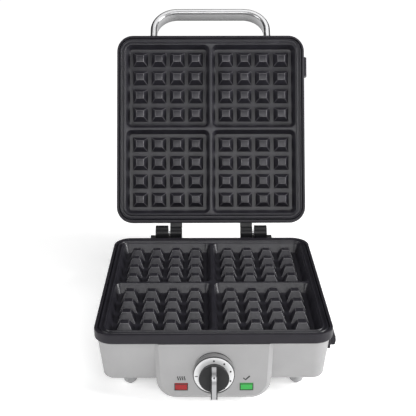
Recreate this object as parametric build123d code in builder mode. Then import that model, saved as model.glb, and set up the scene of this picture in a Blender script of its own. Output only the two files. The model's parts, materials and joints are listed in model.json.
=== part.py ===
from build123d import *
import os
from math import atan, cos, degrees, radians, sin, tan

# Electric waffle maker: a low housing with a dial console in front, a lid that swings up on two
# hinge arms behind, and two removable grid plates, each let go by a push button on the right side.
# The frame's origin is on the table, under the middle of the open machine's box; +Y points to the
# back. Heights z and depths y below are counted from the middle of the plane where the plates meet.

# Where that middle lies in the frame
parting_z = 88.0
plate_y = -91.5

# Hinge and lid
hinge_y = 157.6
hinge_z = 2.8
open_angle = 113.6

# Rims round the plates
rim_half = 142.5
rim_back = 147.0
lid_rim_half = 141.8
lid_rim_back = 142.7
rim_corner = 24.0
rim_height = 13.0
rim_gap = 0.3
rim_opening = 138.7
rim_step_z = -4.3
rim_step_half = 136.9
rim_flange = 2.5
rim_flange_half = 135.0
post_at = 126.6
post_radius = 3.8
pad_radius = 3.2

# Grid plates
plate_half = 138.0
plate_corner = 19.5
flange_top = -2.0
flange_bottom = -4.0
bead_height = 1.8
bead_width = 2.4
bead_half_sizes = (130.6, 135.9)
pan_bottom_half = 125.0
pan_flare = 17.1
pan_corner = 8.6
pan_bottom = -17.0
cell_middle = 65.05
cell_floor_size = 116.9
cell_flare = 21.0
cell_floor = -14.5
peg_pitch = 28.0
peg_top = -1.5
peg_cell = 65.0
peg_foot_x = 22.2
peg_foot_y = 21.4
peg_taper = 24.0
tab_end = 130.0
tab_top = -10.0
tab_thickness = 2.5
tab_row = 60.0
plate_swing_x = -138.0
plate_swing_z = -2.6

# Chassis under each plate
chassis_half_x = 131.5
chassis_half_y = 130.0
chassis_cutout = 100.0
chassis_z = -34.4
sheet = 1.2
bracket_top = -7.2
fulcrum_top = -30.0
bracket_lip = 3.3
reflector_half = 123.0
reflector_top = -19.5
reflector_bottom = -33.0
reflector_sheet = 0.8

# Heating element
element_radius = 3.3
element_z = -22.5
element_bend = 22.0
element_end_x = 20.0
element_end_y = -95.0
element_end_z = -44.0

# Release buttons on the right side
button_front = -112.0
button_back = -83.0
button_low = -31.5
button_high = -15.5
button_out = 148.4
button_travel = 4.0
guide_face = 141.5
guide_front = -116.0
guide_back = -79.0
guide_low = -35.5
button_gap = 0.4

# Lower housing and its console
housing_half = 139.4
housing_front = -138.5
housing_back = 143.5
housing_corner = 21.0
housing_bottom = -66.0
draft = 0.114
wall = 2.5
housing_edge = 4.0
console_half_top = 71.0
console_half_bottom = 67.0
console_front_top = -142.2
console_front_low = -151.8
console_low_z = -76.0
console_bottom = -82.0
console_back = -112.0
console_corner = 24.0
console_bevel = 5.6
service_half_x = 90.0
service_front = -95.0
service_back = 118.0

# Dial, lamps
dial_z = -49.3
dial_plane = -150.0
boss_radius = 25.0
ring_outer = 23.7
ring_inner = 15.6
ring_thickness = 1.5
knob_radius = 18.2
knob_foot = 16.2
knob_face = -160.4
knob_ridge = -175.0
shaft_radius = 3.0
lamp_x = 38.7
lamp_z = -65.0
lamp_width = 15.8
lamp_height = 8.3

# Hinge
lug_inner = 64.4
lug_outer = 83.0
arm_inner = 43.8
arm_outer = 61.4
lug_radius = 11.2
ledge_top = -3.0
arm_radius = 9.5
pin_radius = 3.0
running_gap = 0.05
hinge_screw_places = [(x, -7.2) for x in (-79.5, -68.0, 68.0, 79.5)]
thermostat_front = -134.0
thermostat_back = -114.0
ridge_half = 2.6

# Lid cover and handle
cover_half = 138.8
cover_front = -138.4
cover_back = 139.8
cover_height = 66.0
cover_draft = 0.138
cover_sheet = 1.5
cover_edge = 14.0
handle_x = 88.3
handle_rise = 27.0
handle_mid_y = -190.0
handle_mid_z = 60.0
handle_bend = 37.0
handle_thick = 10.0
handle_deep = 21.0

# Feet
foot_x = 103.0
foot_front_y = -103.5
foot_back_y = 124.0
foot_radius = 8.2
pad_height = 2.0

# Power inlet at the back, and the cover underneath
inlet_x = 92.0
inlet_z = -46.0
inlet_hole = 7.0
inlet_bore = 3.6
cover_lap = 6.0
cover_thick = 2.5
foot_places = [(x, y) for x in (-foot_x, foot_x) for y in (foot_front_y, foot_back_y)]
cover_screw_places = [(x, y) for x in (-93, 93) for y in (-60, 85)]

hinge_line = Axis((0, plate_y + hinge_y, parting_z + hinge_z), (1, 0, 0))

os.makedirs("parts", exist_ok=True)


def level(z):
    """Horizontal plane at height z above the parting plane."""
    return Plane(origin=(0, plate_y, parting_z + z))


def facing_front(y):
    """Upright plane at depth y, with local x to the right, local y up and its normal forwards."""
    return Plane(origin=(0, plate_y + y, parting_z), x_dir=(1, 0, 0), z_dir=(0, -1, 0))


def facing_right(x):
    """Upright plane at x, with local x backwards, local y up and its normal to the right."""
    return Plane(origin=(x, plate_y, parting_z), x_dir=(0, 1, 0), z_dir=(1, 0, 0))


def plan(half_x, y_front, y_back, radius):
    """Rounded rectangle on the current sketch, from y_front to y_back."""
    with Locations((0, (y_front + y_back) / 2)):
        RectangleRounded(2 * half_x, y_back - y_front, radius)


def save(piece, name):
    piece.label = name
    export_step(piece, f"parts/{name}.step")


def save_in_lid(piece, name):
    """Lid pieces are drawn with the lid shut and are written swung open."""
    save(piece.rotate(hinge_line, -open_angle), name)


def upside_down(piece):
    """The same piece on the other side of the parting plane."""
    return mirror(piece, about=level(0))


def console_depth(z):
    """Depth of the console's sloping front face at height z."""
    slope = (console_front_low - console_front_top) / (console_low_z + rim_height)
    return console_front_top + slope * (z + rim_height)


console_tilt = degrees(atan((console_front_top - console_front_low) / (-rim_height - console_low_z)))


def on_console(z, depth=0.0):
    """Plane on the console's front face at height z, sunk by a depth."""
    tilt = radians(console_tilt)
    normal = Vector(0, -cos(tilt), sin(tilt))
    spot = Vector(0, plate_y + console_depth(z), parting_z + z) - normal * depth
    return Plane(origin=spot, x_dir=(1, 0, 0), z_dir=normal)


# ---------------------------------------------------------------- grid plates


def make_grid_plate():
    """Cast plate seen from above: flange with two beads, four cells, sixteen pegs in each cell."""
    button_y = (button_front + button_back) / 2
    with BuildPart() as plate:
        with BuildSketch(level(flange_bottom)):
            RectangleRounded(2 * plate_half, 2 * plate_half, plate_corner)
        extrude(amount=flange_top - flange_bottom)
        with BuildSketch(level(pan_bottom)):
            RectangleRounded(2 * pan_bottom_half, 2 * pan_bottom_half, pan_corner)
        extrude(amount=flange_bottom - pan_bottom, taper=-pan_flare)
        with BuildSketch(level(flange_top)):
            for half in bead_half_sizes:
                outer = half + bead_width / 2
                inner = half - bead_width / 2
                radius = plate_corner - (plate_half - half)
                RectangleRounded(2 * outer, 2 * outer, radius + bead_width / 2)
                RectangleRounded(2 * inner, 2 * inner, radius - bead_width / 2, mode=Mode.SUBTRACT)
                if half == bead_half_sizes[1]:
                    kept = bead_half_sizes[0] + bead_width / 2
                    RectangleRounded(2 * kept, 2 * kept, radius - 3)
                    dropped = kept - bead_width
                    RectangleRounded(2 * dropped, 2 * dropped, radius - 5, mode=Mode.SUBTRACT)
        extrude(amount=bead_height)
        chamfer(plate.faces().group_by(Axis.Z)[-1].edges(), 0.7)
        with BuildSketch(level(cell_floor)):
            with GridLocations(2 * cell_middle, 2 * cell_middle, 2, 2):
                RectangleRounded(cell_floor_size, cell_floor_size, 4.0)
        extrude(amount=flange_top - cell_floor, taper=-cell_flare, mode=Mode.SUBTRACT)
        with BuildSketch(level(cell_floor)):
            with GridLocations(2 * peg_cell, 2 * peg_cell, 2, 2):
                with GridLocations(peg_pitch, peg_pitch, 4, 4):
                    Rectangle(peg_foot_x, peg_foot_y)
        extrude(amount=peg_top - cell_floor, taper=peg_taper)
        for x, y, width in ((-1, -tab_row, 20.0), (-1, tab_row, 20.0), (1, button_y, 14.0)):
            with BuildSketch(level(tab_top)):
                with Locations((x * (tab_end + pan_bottom_half) / 2, y)):
                    Rectangle(tab_end - pan_bottom_half, width)
            extrude(amount=-tab_thickness)
    return plate.part


# ---------------------------------------------------------------- rims round the plates


def make_rim(half_x, y_front, y_back):
    """Rim below the parting plane, with a step for the plate, a flange and four screw posts."""
    with BuildPart() as rim:
        with BuildSketch(level(-rim_height)):
            plan(half_x, y_front, y_back, rim_corner)
        extrude(amount=rim_height - rim_gap)
        fillet(rim.faces().sort_by(Axis.Z)[-1].edges(), 1.6)
        fillet(rim.faces().sort_by(Axis.Z)[0].edges(), 2.2)
        with BuildSketch(level(rim_step_z)):
            plan(rim_opening, -rim_opening, rim_opening, rim_corner - 4)
        extrude(amount=rim_height, mode=Mode.SUBTRACT)
        with BuildSketch(level(rim_step_z)):
            plan(rim_step_half, -rim_step_half, rim_step_half, rim_corner - 5.5)
        extrude(amount=-(rim_height + rim_step_z - rim_flange), mode=Mode.SUBTRACT)
        with BuildSketch(level(rim_flange - rim_height)):
            plan(rim_flange_half, -rim_flange_half, rim_flange_half, rim_corner + 6)
        extrude(amount=-rim_flange, mode=Mode.SUBTRACT)
        with BuildSketch(level(-rim_height)):
            with GridLocations(2 * post_at, 2 * post_at, 2, 2):
                Circle(pad_radius)
        extrude(amount=rim_flange)
        with BuildSketch(level(-rim_height)):
            with GridLocations(2 * post_at, 2 * post_at, 2, 2):
                Circle(post_radius)
        extrude(amount=-(-rim_height - chassis_z - sheet))
        with BuildSketch(level(chassis_z)):
            with GridLocations(2 * post_at, 2 * post_at, 2, 2):
                Circle(1.7)
        extrude(amount=14, mode=Mode.SUBTRACT)
    return rim.part


# ---------------------------------------------------------------- what lies under each plate


def make_chassis():
    """Pressed steel frame with two fixed plate brackets and a fulcrum for the release clip."""
    with BuildPart() as chassis:
        with BuildSketch(level(chassis_z)):
            RectangleRounded(2 * chassis_half_x, 2 * chassis_half_y, 12)
            RectangleRounded(2 * chassis_cutout, 2 * chassis_cutout, 16, mode=Mode.SUBTRACT)
            with GridLocations(2 * post_at, 2 * post_at, 2, 2):
                Circle(1.9, mode=Mode.SUBTRACT)
        extrude(amount=sheet)
        for y in (-tab_row, tab_row):
            with BuildSketch(facing_front(y - 11)):
                with BuildLine():
                    Polyline(
                        (-chassis_half_x, chassis_z),
                        (-chassis_half_x, bracket_top),
                        (-chassis_half_x + bracket_lip, bracket_top),
                        (-chassis_half_x + bracket_lip, bracket_top - sheet),
                        (-chassis_half_x + sheet, bracket_top - sheet),
                        (-chassis_half_x + sheet, chassis_z),
                        close=True,
                    )
                make_face()
            extrude(amount=-22)
        with BuildSketch(facing_right(chassis_half_x - sheet)):
            with Locations(((button_front + button_back) / 2, (chassis_z + fulcrum_top) / 2)):
                Rectangle(24, fulcrum_top - chassis_z)
        extrude(amount=sheet)
    return chassis.part


def make_reflector():
    """Bright tray that throws the heat up at the plate, with holes for the element's ends."""
    with BuildPart() as tray:
        with BuildSketch(level(reflector_bottom)):
            RectangleRounded(2 * reflector_half, 2 * reflector_half, 20)
        extrude(amount=reflector_top - reflector_bottom)
        fillet(tray.faces().sort_by(Axis.Z)[0].edges(), 3)
        offset(amount=-reflector_sheet, openings=tray.faces().sort_by(Axis.Z)[-1])
        with BuildSketch(level(reflector_bottom)):
            with Locations((-element_end_x, element_end_y), (element_end_x, element_end_y)):
                Circle(element_radius + 1.2)
        extrude(amount=2, mode=Mode.SUBTRACT)
    return tray.part


def make_element():
    """Sheathed heating rod in one run: round the plate, with a loop through its middle."""
    flat = [
        (-98, element_end_y),
        (-98, 95),
        (-35, 95),
        (-35, -50),
        (35, -50),
        (35, 95),
        (98, 95),
        (98, element_end_y),
    ]
    corners = [(-element_end_x, element_end_y)] + flat + [(element_end_x, element_end_y)]
    points = [(x, y + plate_y, element_z + parting_z) for x, y in corners]
    low = element_end_z + parting_z
    start = (points[0][0], points[0][1], low)
    end = (points[-1][0], points[-1][1], low)
    with BuildPart() as rod:
        with BuildLine() as run:
            FilletPolyline(start, *points, end, radius=[12] + [element_bend] * 8 + [12])
        with BuildSketch(Plane(origin=start, z_dir=(0, 0, 1))):
            Circle(element_radius)
        sweep(path=run.line)
    return rod.part


def make_terminals():
    """Ceramic ends of the heating rod, each with a flat tab."""
    with BuildPart() as ends:
        with BuildSketch(level(element_end_z - 0.05)):
            with Locations((-element_end_x, element_end_y), (element_end_x, element_end_y)):
                Circle(4.6)
        extrude(amount=-5)
        with BuildSketch(level(element_end_z - 5.05)):
            with Locations((-element_end_x, element_end_y), (element_end_x, element_end_y)):
                Rectangle(6.3, 0.8)
        extrude(amount=-6)
    return ends.part


def make_element_clips():
    """Saddles that hold the heating rod down on the reflector."""
    inner = element_radius + 0.05
    foot = reflector_bottom + reflector_sheet + 0.05 - element_z
    with BuildPart() as clips:
        for x, y in ((-98, 0), (98, 0), (-35, 30), (35, 30)):
            with BuildSketch(facing_front(y + 4)):
                with Locations((x, element_z)):
                    Circle(inner + 0.8)
                    with Locations((0, foot / 2)):
                        Rectangle(2 * inner + 1.6, -foot)
                    with Locations((0, foot + 0.4)):
                        Rectangle(24, 0.8)
                    Circle(inner, mode=Mode.SUBTRACT)
                    with Locations((0, foot / 2 + 0.4)):
                        Rectangle(2 * inner, -foot - 0.8, mode=Mode.SUBTRACT)
            extrude(amount=8)
    return clips.part


def make_release_clip():
    """Spring steel catch over the plate's right tab, rocking on the chassis."""
    leg = chassis_half_x + 0.1
    with BuildPart() as clip:
        with BuildSketch(facing_front((button_front + button_back) / 2 - 6)):
            with BuildLine():
                Polyline(
                    (leg + 1, chassis_z - 1.2),
                    (leg + 1, bracket_top - 0.8),
                    (leg - 3, bracket_top - 0.8),
                    (leg - 3, bracket_top - 1.8),
                    (leg, bracket_top - 1.8),
                    (leg, chassis_z - 0.2),
                    (leg - 8, chassis_z - 0.2),
                    (leg - 8, chassis_z - 1.2),
                    close=True,
                )
            make_face()
        extrude(amount=-12)
    return clip.part


def make_chassis_screws():
    """Four screws from the chassis up into the rim's posts."""
    with BuildPart() as screws:
        with BuildSketch(level(chassis_z)):
            with GridLocations(2 * post_at, 2 * post_at, 2, 2):
                Circle(3.0)
        extrude(amount=-2)
        with BuildSketch(level(chassis_z)):
            with GridLocations(2 * post_at, 2 * post_at, 2, 2):
                Circle(1.65)
        extrude(amount=10)
    return screws.part


def make_thermal_fuse():
    with BuildPart() as fuse:
        with BuildSketch(facing_right(-46)):
            with Locations((40, reflector_bottom - 3.2)):
                Circle(3)
        extrude(amount=12)
        with BuildSketch(facing_right(-48)):
            with Locations((40, reflector_bottom - 3.2)):
                Circle(0.8)
        extrude(amount=16)
    return fuse.part


def make_button_guide(form, inner_x):
    """Frame on the right wall that the release button slides through, fitted to the wall's form."""
    middle_y = (button_front + button_back) / 2
    middle_z = (button_low + button_high) / 2
    top_z = -rim_height - 0.2
    with BuildPart() as guide:
        with BuildSketch(facing_right(inner_x)):
            with Locations(((guide_front + guide_back) / 2, (guide_low + top_z) / 2)):
                RectangleRounded(guide_back - guide_front, top_z - guide_low, 3)
        extrude(amount=guide_face - inner_x)
        fillet(guide.faces().sort_by(Axis.X)[-1].edges(), 0.8)
        add(form, mode=Mode.SUBTRACT)
        with BuildSketch(facing_right(inner_x - 5)):
            with Locations((middle_y, middle_z)):
                width = button_back - button_front + 2 * button_gap
                height = button_high - button_low + 2 * button_gap
                Rectangle(width, height)
        extrude(amount=20, mode=Mode.SUBTRACT)
    return guide.part


def make_release_button():
    """Ribbed push button with a slim stem that reaches in to the release clip."""
    stem_end = chassis_half_x + 1.4
    head_back = guide_face - 1.0
    middle_y = (button_front + button_back) / 2
    with BuildPart() as button:
        with BuildSketch(facing_front(button_front)):
            with BuildLine():
                Polyline(
                    (head_back, button_low),
                    (button_out - 1.2, button_low),
                    (button_out, button_low + 6),
                    (button_out - 0.8, button_high - 4),
                    (button_out - 3.4, button_high),
                    (head_back, button_high),
                    close=True,
                )
            make_face()
        extrude(amount=button_front - button_back)
        fillet(button.edges().filter_by(Axis.Z).group_by(Axis.X)[-1], 1.2)
        with BuildSketch(facing_right(stem_end)):
            with Locations((middle_y, (button_low + button_high) / 2 - 1)):
                RectangleRounded(12, 8, 1)
        extrude(amount=head_back - stem_end)
    return button.part


# ---------------------------------------------------------------- lower housing


def housing_form(inset):
    """Housing and console as one solid, with every wall moved inwards by the inset."""
    low = housing_bottom + inset
    with BuildPart() as form:
        for z in (-rim_height, low):
            shrink = draft * (-rim_height - z) + inset
            with BuildSketch(level(z)):
                plan(
                    housing_half - shrink,
                    housing_front + shrink,
                    housing_back - shrink,
                    housing_corner - shrink,
                )
        loft(ruled=True)
        fillet(form.faces().sort_by(Axis.Z)[0].edges(), housing_edge - inset)
    floor = console_bottom + inset
    top = console_half_top - inset
    narrow = console_half_bottom - inset
    with BuildPart() as console:
        with BuildSketch(facing_front(console_back + inset)):
            with BuildLine():
                FilletPolyline(
                    (top, -rim_height),
                    (narrow, floor),
                    (-narrow, floor),
                    (-top, -rim_height),
                    radius=console_corner - inset,
                )
                Line((-top, -rim_height), (top, -rim_height))
            make_face()
        extrude(amount=console_back + inset - console_depth(console_bottom) + 5)
        with BuildSketch(facing_right(0)):
            with BuildLine():
                Polyline(
                    (console_back + inset, -rim_height),
                    (console_depth(-rim_height) + inset, -rim_height),
                    (console_depth(floor) + inset, floor),
                    (console_back + 10 + inset, floor),
                    (console_back + inset, housing_bottom + inset),
                    close=True,
                )
            make_face()
        extrude(amount=console_half_top + 5, both=True, mode=Mode.INTERSECT)
        front = console.faces().sort_by(Axis.Y)[0]
        chamfer(front.edges().sort_by(Axis.Z)[:-1], console_bevel - 0.4 * inset)
    with BuildPart() as whole:
        add(form.part)
        add(console.part)
    return whole.part


def make_housing():
    with BuildPart() as housing:
        add(housing_form(0))
        add(housing_form(wall), mode=Mode.SUBTRACT)
        with BuildSketch(facing_front(dial_plane)):
            with Locations((0, dial_z)):
                Circle(boss_radius)
        extrude(amount=dial_plane - console_depth(-rim_height) - 1.2)
        with BuildSketch(facing_front(dial_plane + wall)):
            with Locations((0, dial_z)):
                Circle(boss_radius - wall)
        extrude(amount=-20, mode=Mode.SUBTRACT)
        with BuildSketch(facing_front(dial_plane)):
            with Locations((0, dial_z)):
                Circle(boss_radius + 0.3)
        extrude(amount=10, mode=Mode.SUBTRACT)
        with BuildSketch(facing_front(dial_plane)):
            with Locations((0, dial_z)):
                Circle(shaft_radius + 1.2)
        extrude(amount=-10, mode=Mode.SUBTRACT)
        with BuildSketch(on_console(lamp_z, -3)):
            with Locations((-lamp_x, 0), (lamp_x, 0)):
                Rectangle(lamp_width + 0.3, lamp_height + 0.3)
        extrude(amount=-10, mode=Mode.SUBTRACT)
        with BuildSketch(level(housing_bottom - 1)):
            plan(service_half_x, service_front, service_back, 12)
        extrude(amount=wall + 2, mode=Mode.SUBTRACT)
        with BuildSketch(facing_right(housing_half - 12)):
            with Locations(((button_front + button_back) / 2, (button_low + button_high) / 2)):
                Rectangle(button_back - button_front + 2.4, button_high - button_low + 2.4)
        extrude(amount=20, mode=Mode.SUBTRACT)
        with BuildSketch(facing_front(housing_back - 10)):
            with Locations((inlet_x, inlet_z)):
                Circle(inlet_hole)
        extrude(amount=-20, mode=Mode.SUBTRACT)
        with BuildSketch(level(housing_bottom - 1)):
            with Locations(*cover_screw_places):
                Circle(1.4)
            with Locations(*foot_places):
                Circle(2.2)
        extrude(amount=wall + 2, mode=Mode.SUBTRACT)
    return housing.part


def make_bottom_cover():
    """Service cover under the housing, with cooling slots."""
    with BuildPart() as cover:
        with BuildSketch(level(housing_bottom)):
            plan(service_half_x + cover_lap, service_front - cover_lap, service_back + cover_lap, 14)
            with Locations(*cover_screw_places):
                Circle(1.7, mode=Mode.SUBTRACT)
            for x in range(-4, 5):
                for y in (-45, 45):
                    with Locations((x * 12.0, y)):
                        SlotOverall(50, 4.0, rotation=90, mode=Mode.SUBTRACT)
        extrude(amount=-cover_thick)
        fillet(cover.faces().sort_by(Axis.Z)[0].outer_wire().edges(), 1.0)
    return cover.part


def make_cover_screws():
    with BuildPart() as screws:
        with BuildSketch(level(housing_bottom - cover_thick)):
            with Locations(*cover_screw_places):
                Circle(3.2)
        extrude(amount=-1.8)
        fillet(screws.faces().group_by(Axis.Z)[0].edges(), 0.8)
        with BuildSketch(level(housing_bottom - cover_thick)):
            with Locations(*cover_screw_places):
                Circle(1.35)
        extrude(amount=7)
    return screws.part


def make_feet():
    """Four legs, each a rounded post with a plug into the housing floor."""
    with BuildPart() as feet:
        with BuildSketch(level(pad_height - parting_z)):
            with Locations(*foot_places):
                Circle(foot_radius)
        extrude(amount=parting_z + housing_bottom - pad_height)
        fillet(feet.faces().group_by(Axis.Z)[0].edges(), 3.5)
        with BuildSketch(level(housing_bottom)):
            with Locations(*foot_places):
                Circle(2.1)
        extrude(amount=6)
        with BuildSketch(level(pad_height - parting_z)):
            with Locations(*foot_places):
                Circle(4.1)
        extrude(amount=1.2, mode=Mode.SUBTRACT)
    return feet.part


def make_foot_pads():
    """Rubber discs let into the legs."""
    with BuildPart() as pads:
        with BuildSketch(level(-parting_z)):
            with Locations(*foot_places):
                Circle(4.0)
        extrude(amount=pad_height + 1.1)
        fillet(pads.faces().group_by(Axis.Z)[0].edges(), 0.6)
    return pads.part


def make_dial_ring():
    with BuildPart() as ring:
        with BuildSketch(facing_front(dial_plane - 0.1)):
            with Locations((0, dial_z)):
                Circle(ring_outer)
                Circle(ring_inner, mode=Mode.SUBTRACT)
        extrude(amount=ring_thickness)
        fillet(ring.faces().sort_by(Axis.Y)[0].edges(), 0.5)
    return ring.part


def make_knob():
    """Round knob with a grip bar across it and a bore for the shaft."""
    back = dial_plane - ring_thickness - 0.6
    knob_flare = degrees(atan((knob_radius - knob_foot) / (back - knob_face)))
    bar_half = 3.9
    with BuildPart() as knob:
        with BuildSketch(facing_front(back)):
            with Locations((0, dial_z)):
                Circle(knob_foot)
        extrude(amount=back - knob_face, taper=-knob_flare)
        fillet(knob.faces().sort_by(Axis.Y)[0].edges(), 1.0)
        with BuildSketch(facing_right(-bar_half)):
            with BuildLine():
                brow = (knob_ridge, dial_z + 2.5)
                heel = (knob_ridge, dial_z - knob_radius + 0.4)
                start = (knob_face + 0.6, dial_z + 17.2)
                ThreePointArc(start, (knob_ridge + 5.5, dial_z + 12), brow)
                Polyline(brow, heel, (knob_face + 0.6, heel[1]), start)
            make_face()
        extrude(amount=2 * bar_half)
        with BuildSketch(facing_right(-ridge_half - 0.05)):
            add(ridge_outline(0.1))
        extrude(amount=2 * ridge_half + 0.1, mode=Mode.SUBTRACT)
        with BuildSketch(facing_front(back)):
            with Locations((0, dial_z)):
                Circle(shaft_radius + 0.02)
        extrude(amount=10, mode=Mode.SUBTRACT)
    return knob.part


def ridge_outline(grow):
    """Side view of the bright strip let into the knob's grip bar."""
    front = knob_ridge - grow
    low = dial_z - knob_radius + 0.4 - grow
    start = (knob_face + 0.6, dial_z + 17.2 + grow)
    brow = (front, dial_z + 2.5)
    inner_brow = (knob_ridge + 1.5, dial_z + 2)
    inner_end = (knob_face + 0.6, dial_z + 15.4)
    with BuildSketch() as outline:
        with BuildLine():
            ThreePointArc(start, (front + 5.5, dial_z + 12 + grow), brow)
            Polyline(brow, (front, low), (knob_ridge + 1.5, low), inner_brow)
            ThreePointArc(inner_brow, (knob_ridge + 6.3, dial_z + 10.8), inner_end)
            Line(inner_end, start)
        make_face()
    return outline.sketch


def make_knob_strip():
    with BuildPart() as strip:
        with BuildSketch(facing_right(-ridge_half)):
            add(ridge_outline(0))
        extrude(amount=2 * ridge_half)
    return strip.part


def make_knob_shaft():
    """Steel shaft from the thermostat to the knob."""
    with BuildPart() as shaft:
        with BuildSketch(facing_front(thermostat_back - 8)):
            with Locations((0, dial_z)):
                Circle(shaft_radius)
        extrude(amount=thermostat_back - 8 - (dial_plane - ring_thickness - 10.4))
        chamfer(shaft.faces().sort_by(Axis.Y)[0].edges(), 0.4)
    return shaft.part


def make_thermostat():
    """Switch body behind the dial, with a bush round the shaft and two tabs behind."""
    with BuildPart() as thermostat:
        with BuildSketch(facing_front(thermostat_back)):
            with Locations((0, dial_z)):
                RectangleRounded(26, 25, 3)
        extrude(amount=thermostat_back - thermostat_front)
        with BuildSketch(facing_front(thermostat_front)):
            with Locations((0, dial_z)):
                Circle(5)
        extrude(amount=6)
        with BuildSketch(facing_front(thermostat_back)):
            with Locations((-8, dial_z), (8, dial_z)):
                Rectangle(0.8, 6.3)
        extrude(amount=-7)
        with BuildSketch(facing_front(thermostat_front)):
            with Locations((0, dial_z)):
                Circle(shaft_radius + running_gap)
        extrude(amount=16, both=True, mode=Mode.SUBTRACT)
    return thermostat.part


def make_thermostat_bracket():
    """Angle plate that hangs the thermostat from the chassis."""
    with BuildPart() as bracket:
        with BuildSketch(facing_front(thermostat_front - 0.1)):
            with Locations((0, (dial_z - 16 + chassis_z - 0.1) / 2)):
                Rectangle(40, chassis_z - 0.1 - dial_z + 16)
            with Locations((0, dial_z)):
                Circle(5.1, mode=Mode.SUBTRACT)
        extrude(amount=sheet)
        with BuildSketch(level(chassis_z - 0.1)):
            with Locations((0, thermostat_front + 6)):
                Rectangle(40, 14)
        extrude(amount=-sheet)
    return bracket.part


def make_lamp_lens(x):
    """Small window with a rounded front and a flange behind the console's wall."""
    with BuildPart() as lens:
        with BuildSketch(on_console(lamp_z, wall + 0.2)):
            with Locations((x, 0)):
                Rectangle(lamp_width, lamp_height)
        extrude(amount=wall + 0.9)
        fillet(lens.faces().sort_by(Axis.Y)[0].edges(), 0.5)
        with BuildSketch(on_console(lamp_z, wall + 0.2)):
            with Locations((x, 0)):
                Rectangle(lamp_width + 2.4, lamp_height + 2.4)
        extrude(amount=-1.2)
    return lens.part


def make_lamps():
    """Two small neon lamps behind the windows."""
    with BuildPart() as lamps:
        with BuildSketch(on_console(lamp_z, wall + 2.2)):
            with Locations((-lamp_x, 0), (lamp_x, 0)):
                Circle(2.8)
        extrude(amount=-11)
        fillet(lamps.faces().sort_by(Axis.Y)[:2].edges(), 1.0)
    return lamps.part


def make_lamp_board():
    with BuildPart() as board:
        with BuildSketch(facing_front(-132)):
            with Locations((0, lamp_z - 3.5)):
                Rectangle(104, 11)
        extrude(amount=-1.6)
    return board.part


def make_terminal_block():
    with BuildPart() as block:
        with BuildSketch(level(housing_bottom + 0.1)):
            with Locations((62, 78)):
                Rectangle(36, 16)
        extrude(amount=9)
        with BuildSketch(level(housing_bottom + 9.1)):
            with Locations((62, 78)):
                with GridLocations(11, 1, 3, 1):
                    Rectangle(8, 12)
        extrude(amount=4)
        with BuildSketch(level(housing_bottom + 13.1)):
            with Locations((62, 78)):
                with GridLocations(11, 1, 3, 1):
                    Circle(2.4)
        extrude(amount=-5, mode=Mode.SUBTRACT)
    return block.part


def make_wiring():
    """Insulated leads between the terminal block, thermostat, fuse, lamps and heating rod."""
    low = housing_bottom + 6
    fuse_z = reflector_bottom - 3.2
    tip_z = element_end_z - 12.5
    tag_y = thermostat_back + 8.4
    routes = (
        [(52, 68.5, low), (52, -50, low), (8, -60, low), (8, -88, dial_z), (8, tag_y, dial_z)],
        [(60, 68.5, low), (60, -120, low), (46, -126, low - 2), (46, -130.1, low - 2)],
        [(-8, tag_y, dial_z), (-8, -88, dial_z), (-22, -10, -46), (-22, 40, fuse_z), (-31.4, 40, fuse_z)],
        [(-48.6, 40, fuse_z), (-60, 40, fuse_z - 8), (-60, -60, -58), (-20, -85, -62), (-20, -95, tip_z)],
        [(20, -95, tip_z), (20, -84, -56), (78, -60, -52), (78, 50, -52), (70, 60, low), (70, 68.5, low)],
    )
    with BuildPart() as wiring:
        for route in routes:
            points = [(x, y + plate_y, z + parting_z) for x, y, z in route]
            with BuildLine() as run:
                FilletPolyline(*points, radius=3)
            with BuildSketch(Plane(origin=points[0], z_dir=run.line % 0)):
                Circle(1.2)
            sweep(path=run.line)
    return wiring.part


def make_inlet_bush():
    """Rubber bush in the back wall that a power cord would come through."""
    outer = housing_back - draft * (-rim_height - inlet_z)
    with BuildPart() as bush:
        with BuildSketch(facing_front(outer - wall - 2.6)):
            with Locations((inlet_x, inlet_z)):
                Circle(inlet_hole + 1.8)
        extrude(amount=-(wall + 6))
        fillet(bush.faces().sort_by(Axis.Y)[-1].edges(), 1.0)
        add(housing_ring(outer), mode=Mode.SUBTRACT)
        with BuildSketch(facing_front(outer - 20)):
            with Locations((inlet_x, inlet_z)):
                Circle(inlet_bore)
        extrude(amount=-40, mode=Mode.SUBTRACT)
    return bush.part


def housing_ring(outer):
    """The stretch of wall round the inlet hole, which sits in the bush's groove."""
    with BuildPart() as band:
        add(housing_form(0))
        add(housing_form(wall), mode=Mode.SUBTRACT)
        with BuildSketch(facing_front(outer - 10)):
            with Locations((inlet_x, inlet_z)):
                Circle(inlet_hole + 3)
                Circle(inlet_hole - 0.1, mode=Mode.SUBTRACT)
        extrude(amount=-20, mode=Mode.INTERSECT)
    return band.part


# ---------------------------------------------------------------- hinge


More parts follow.
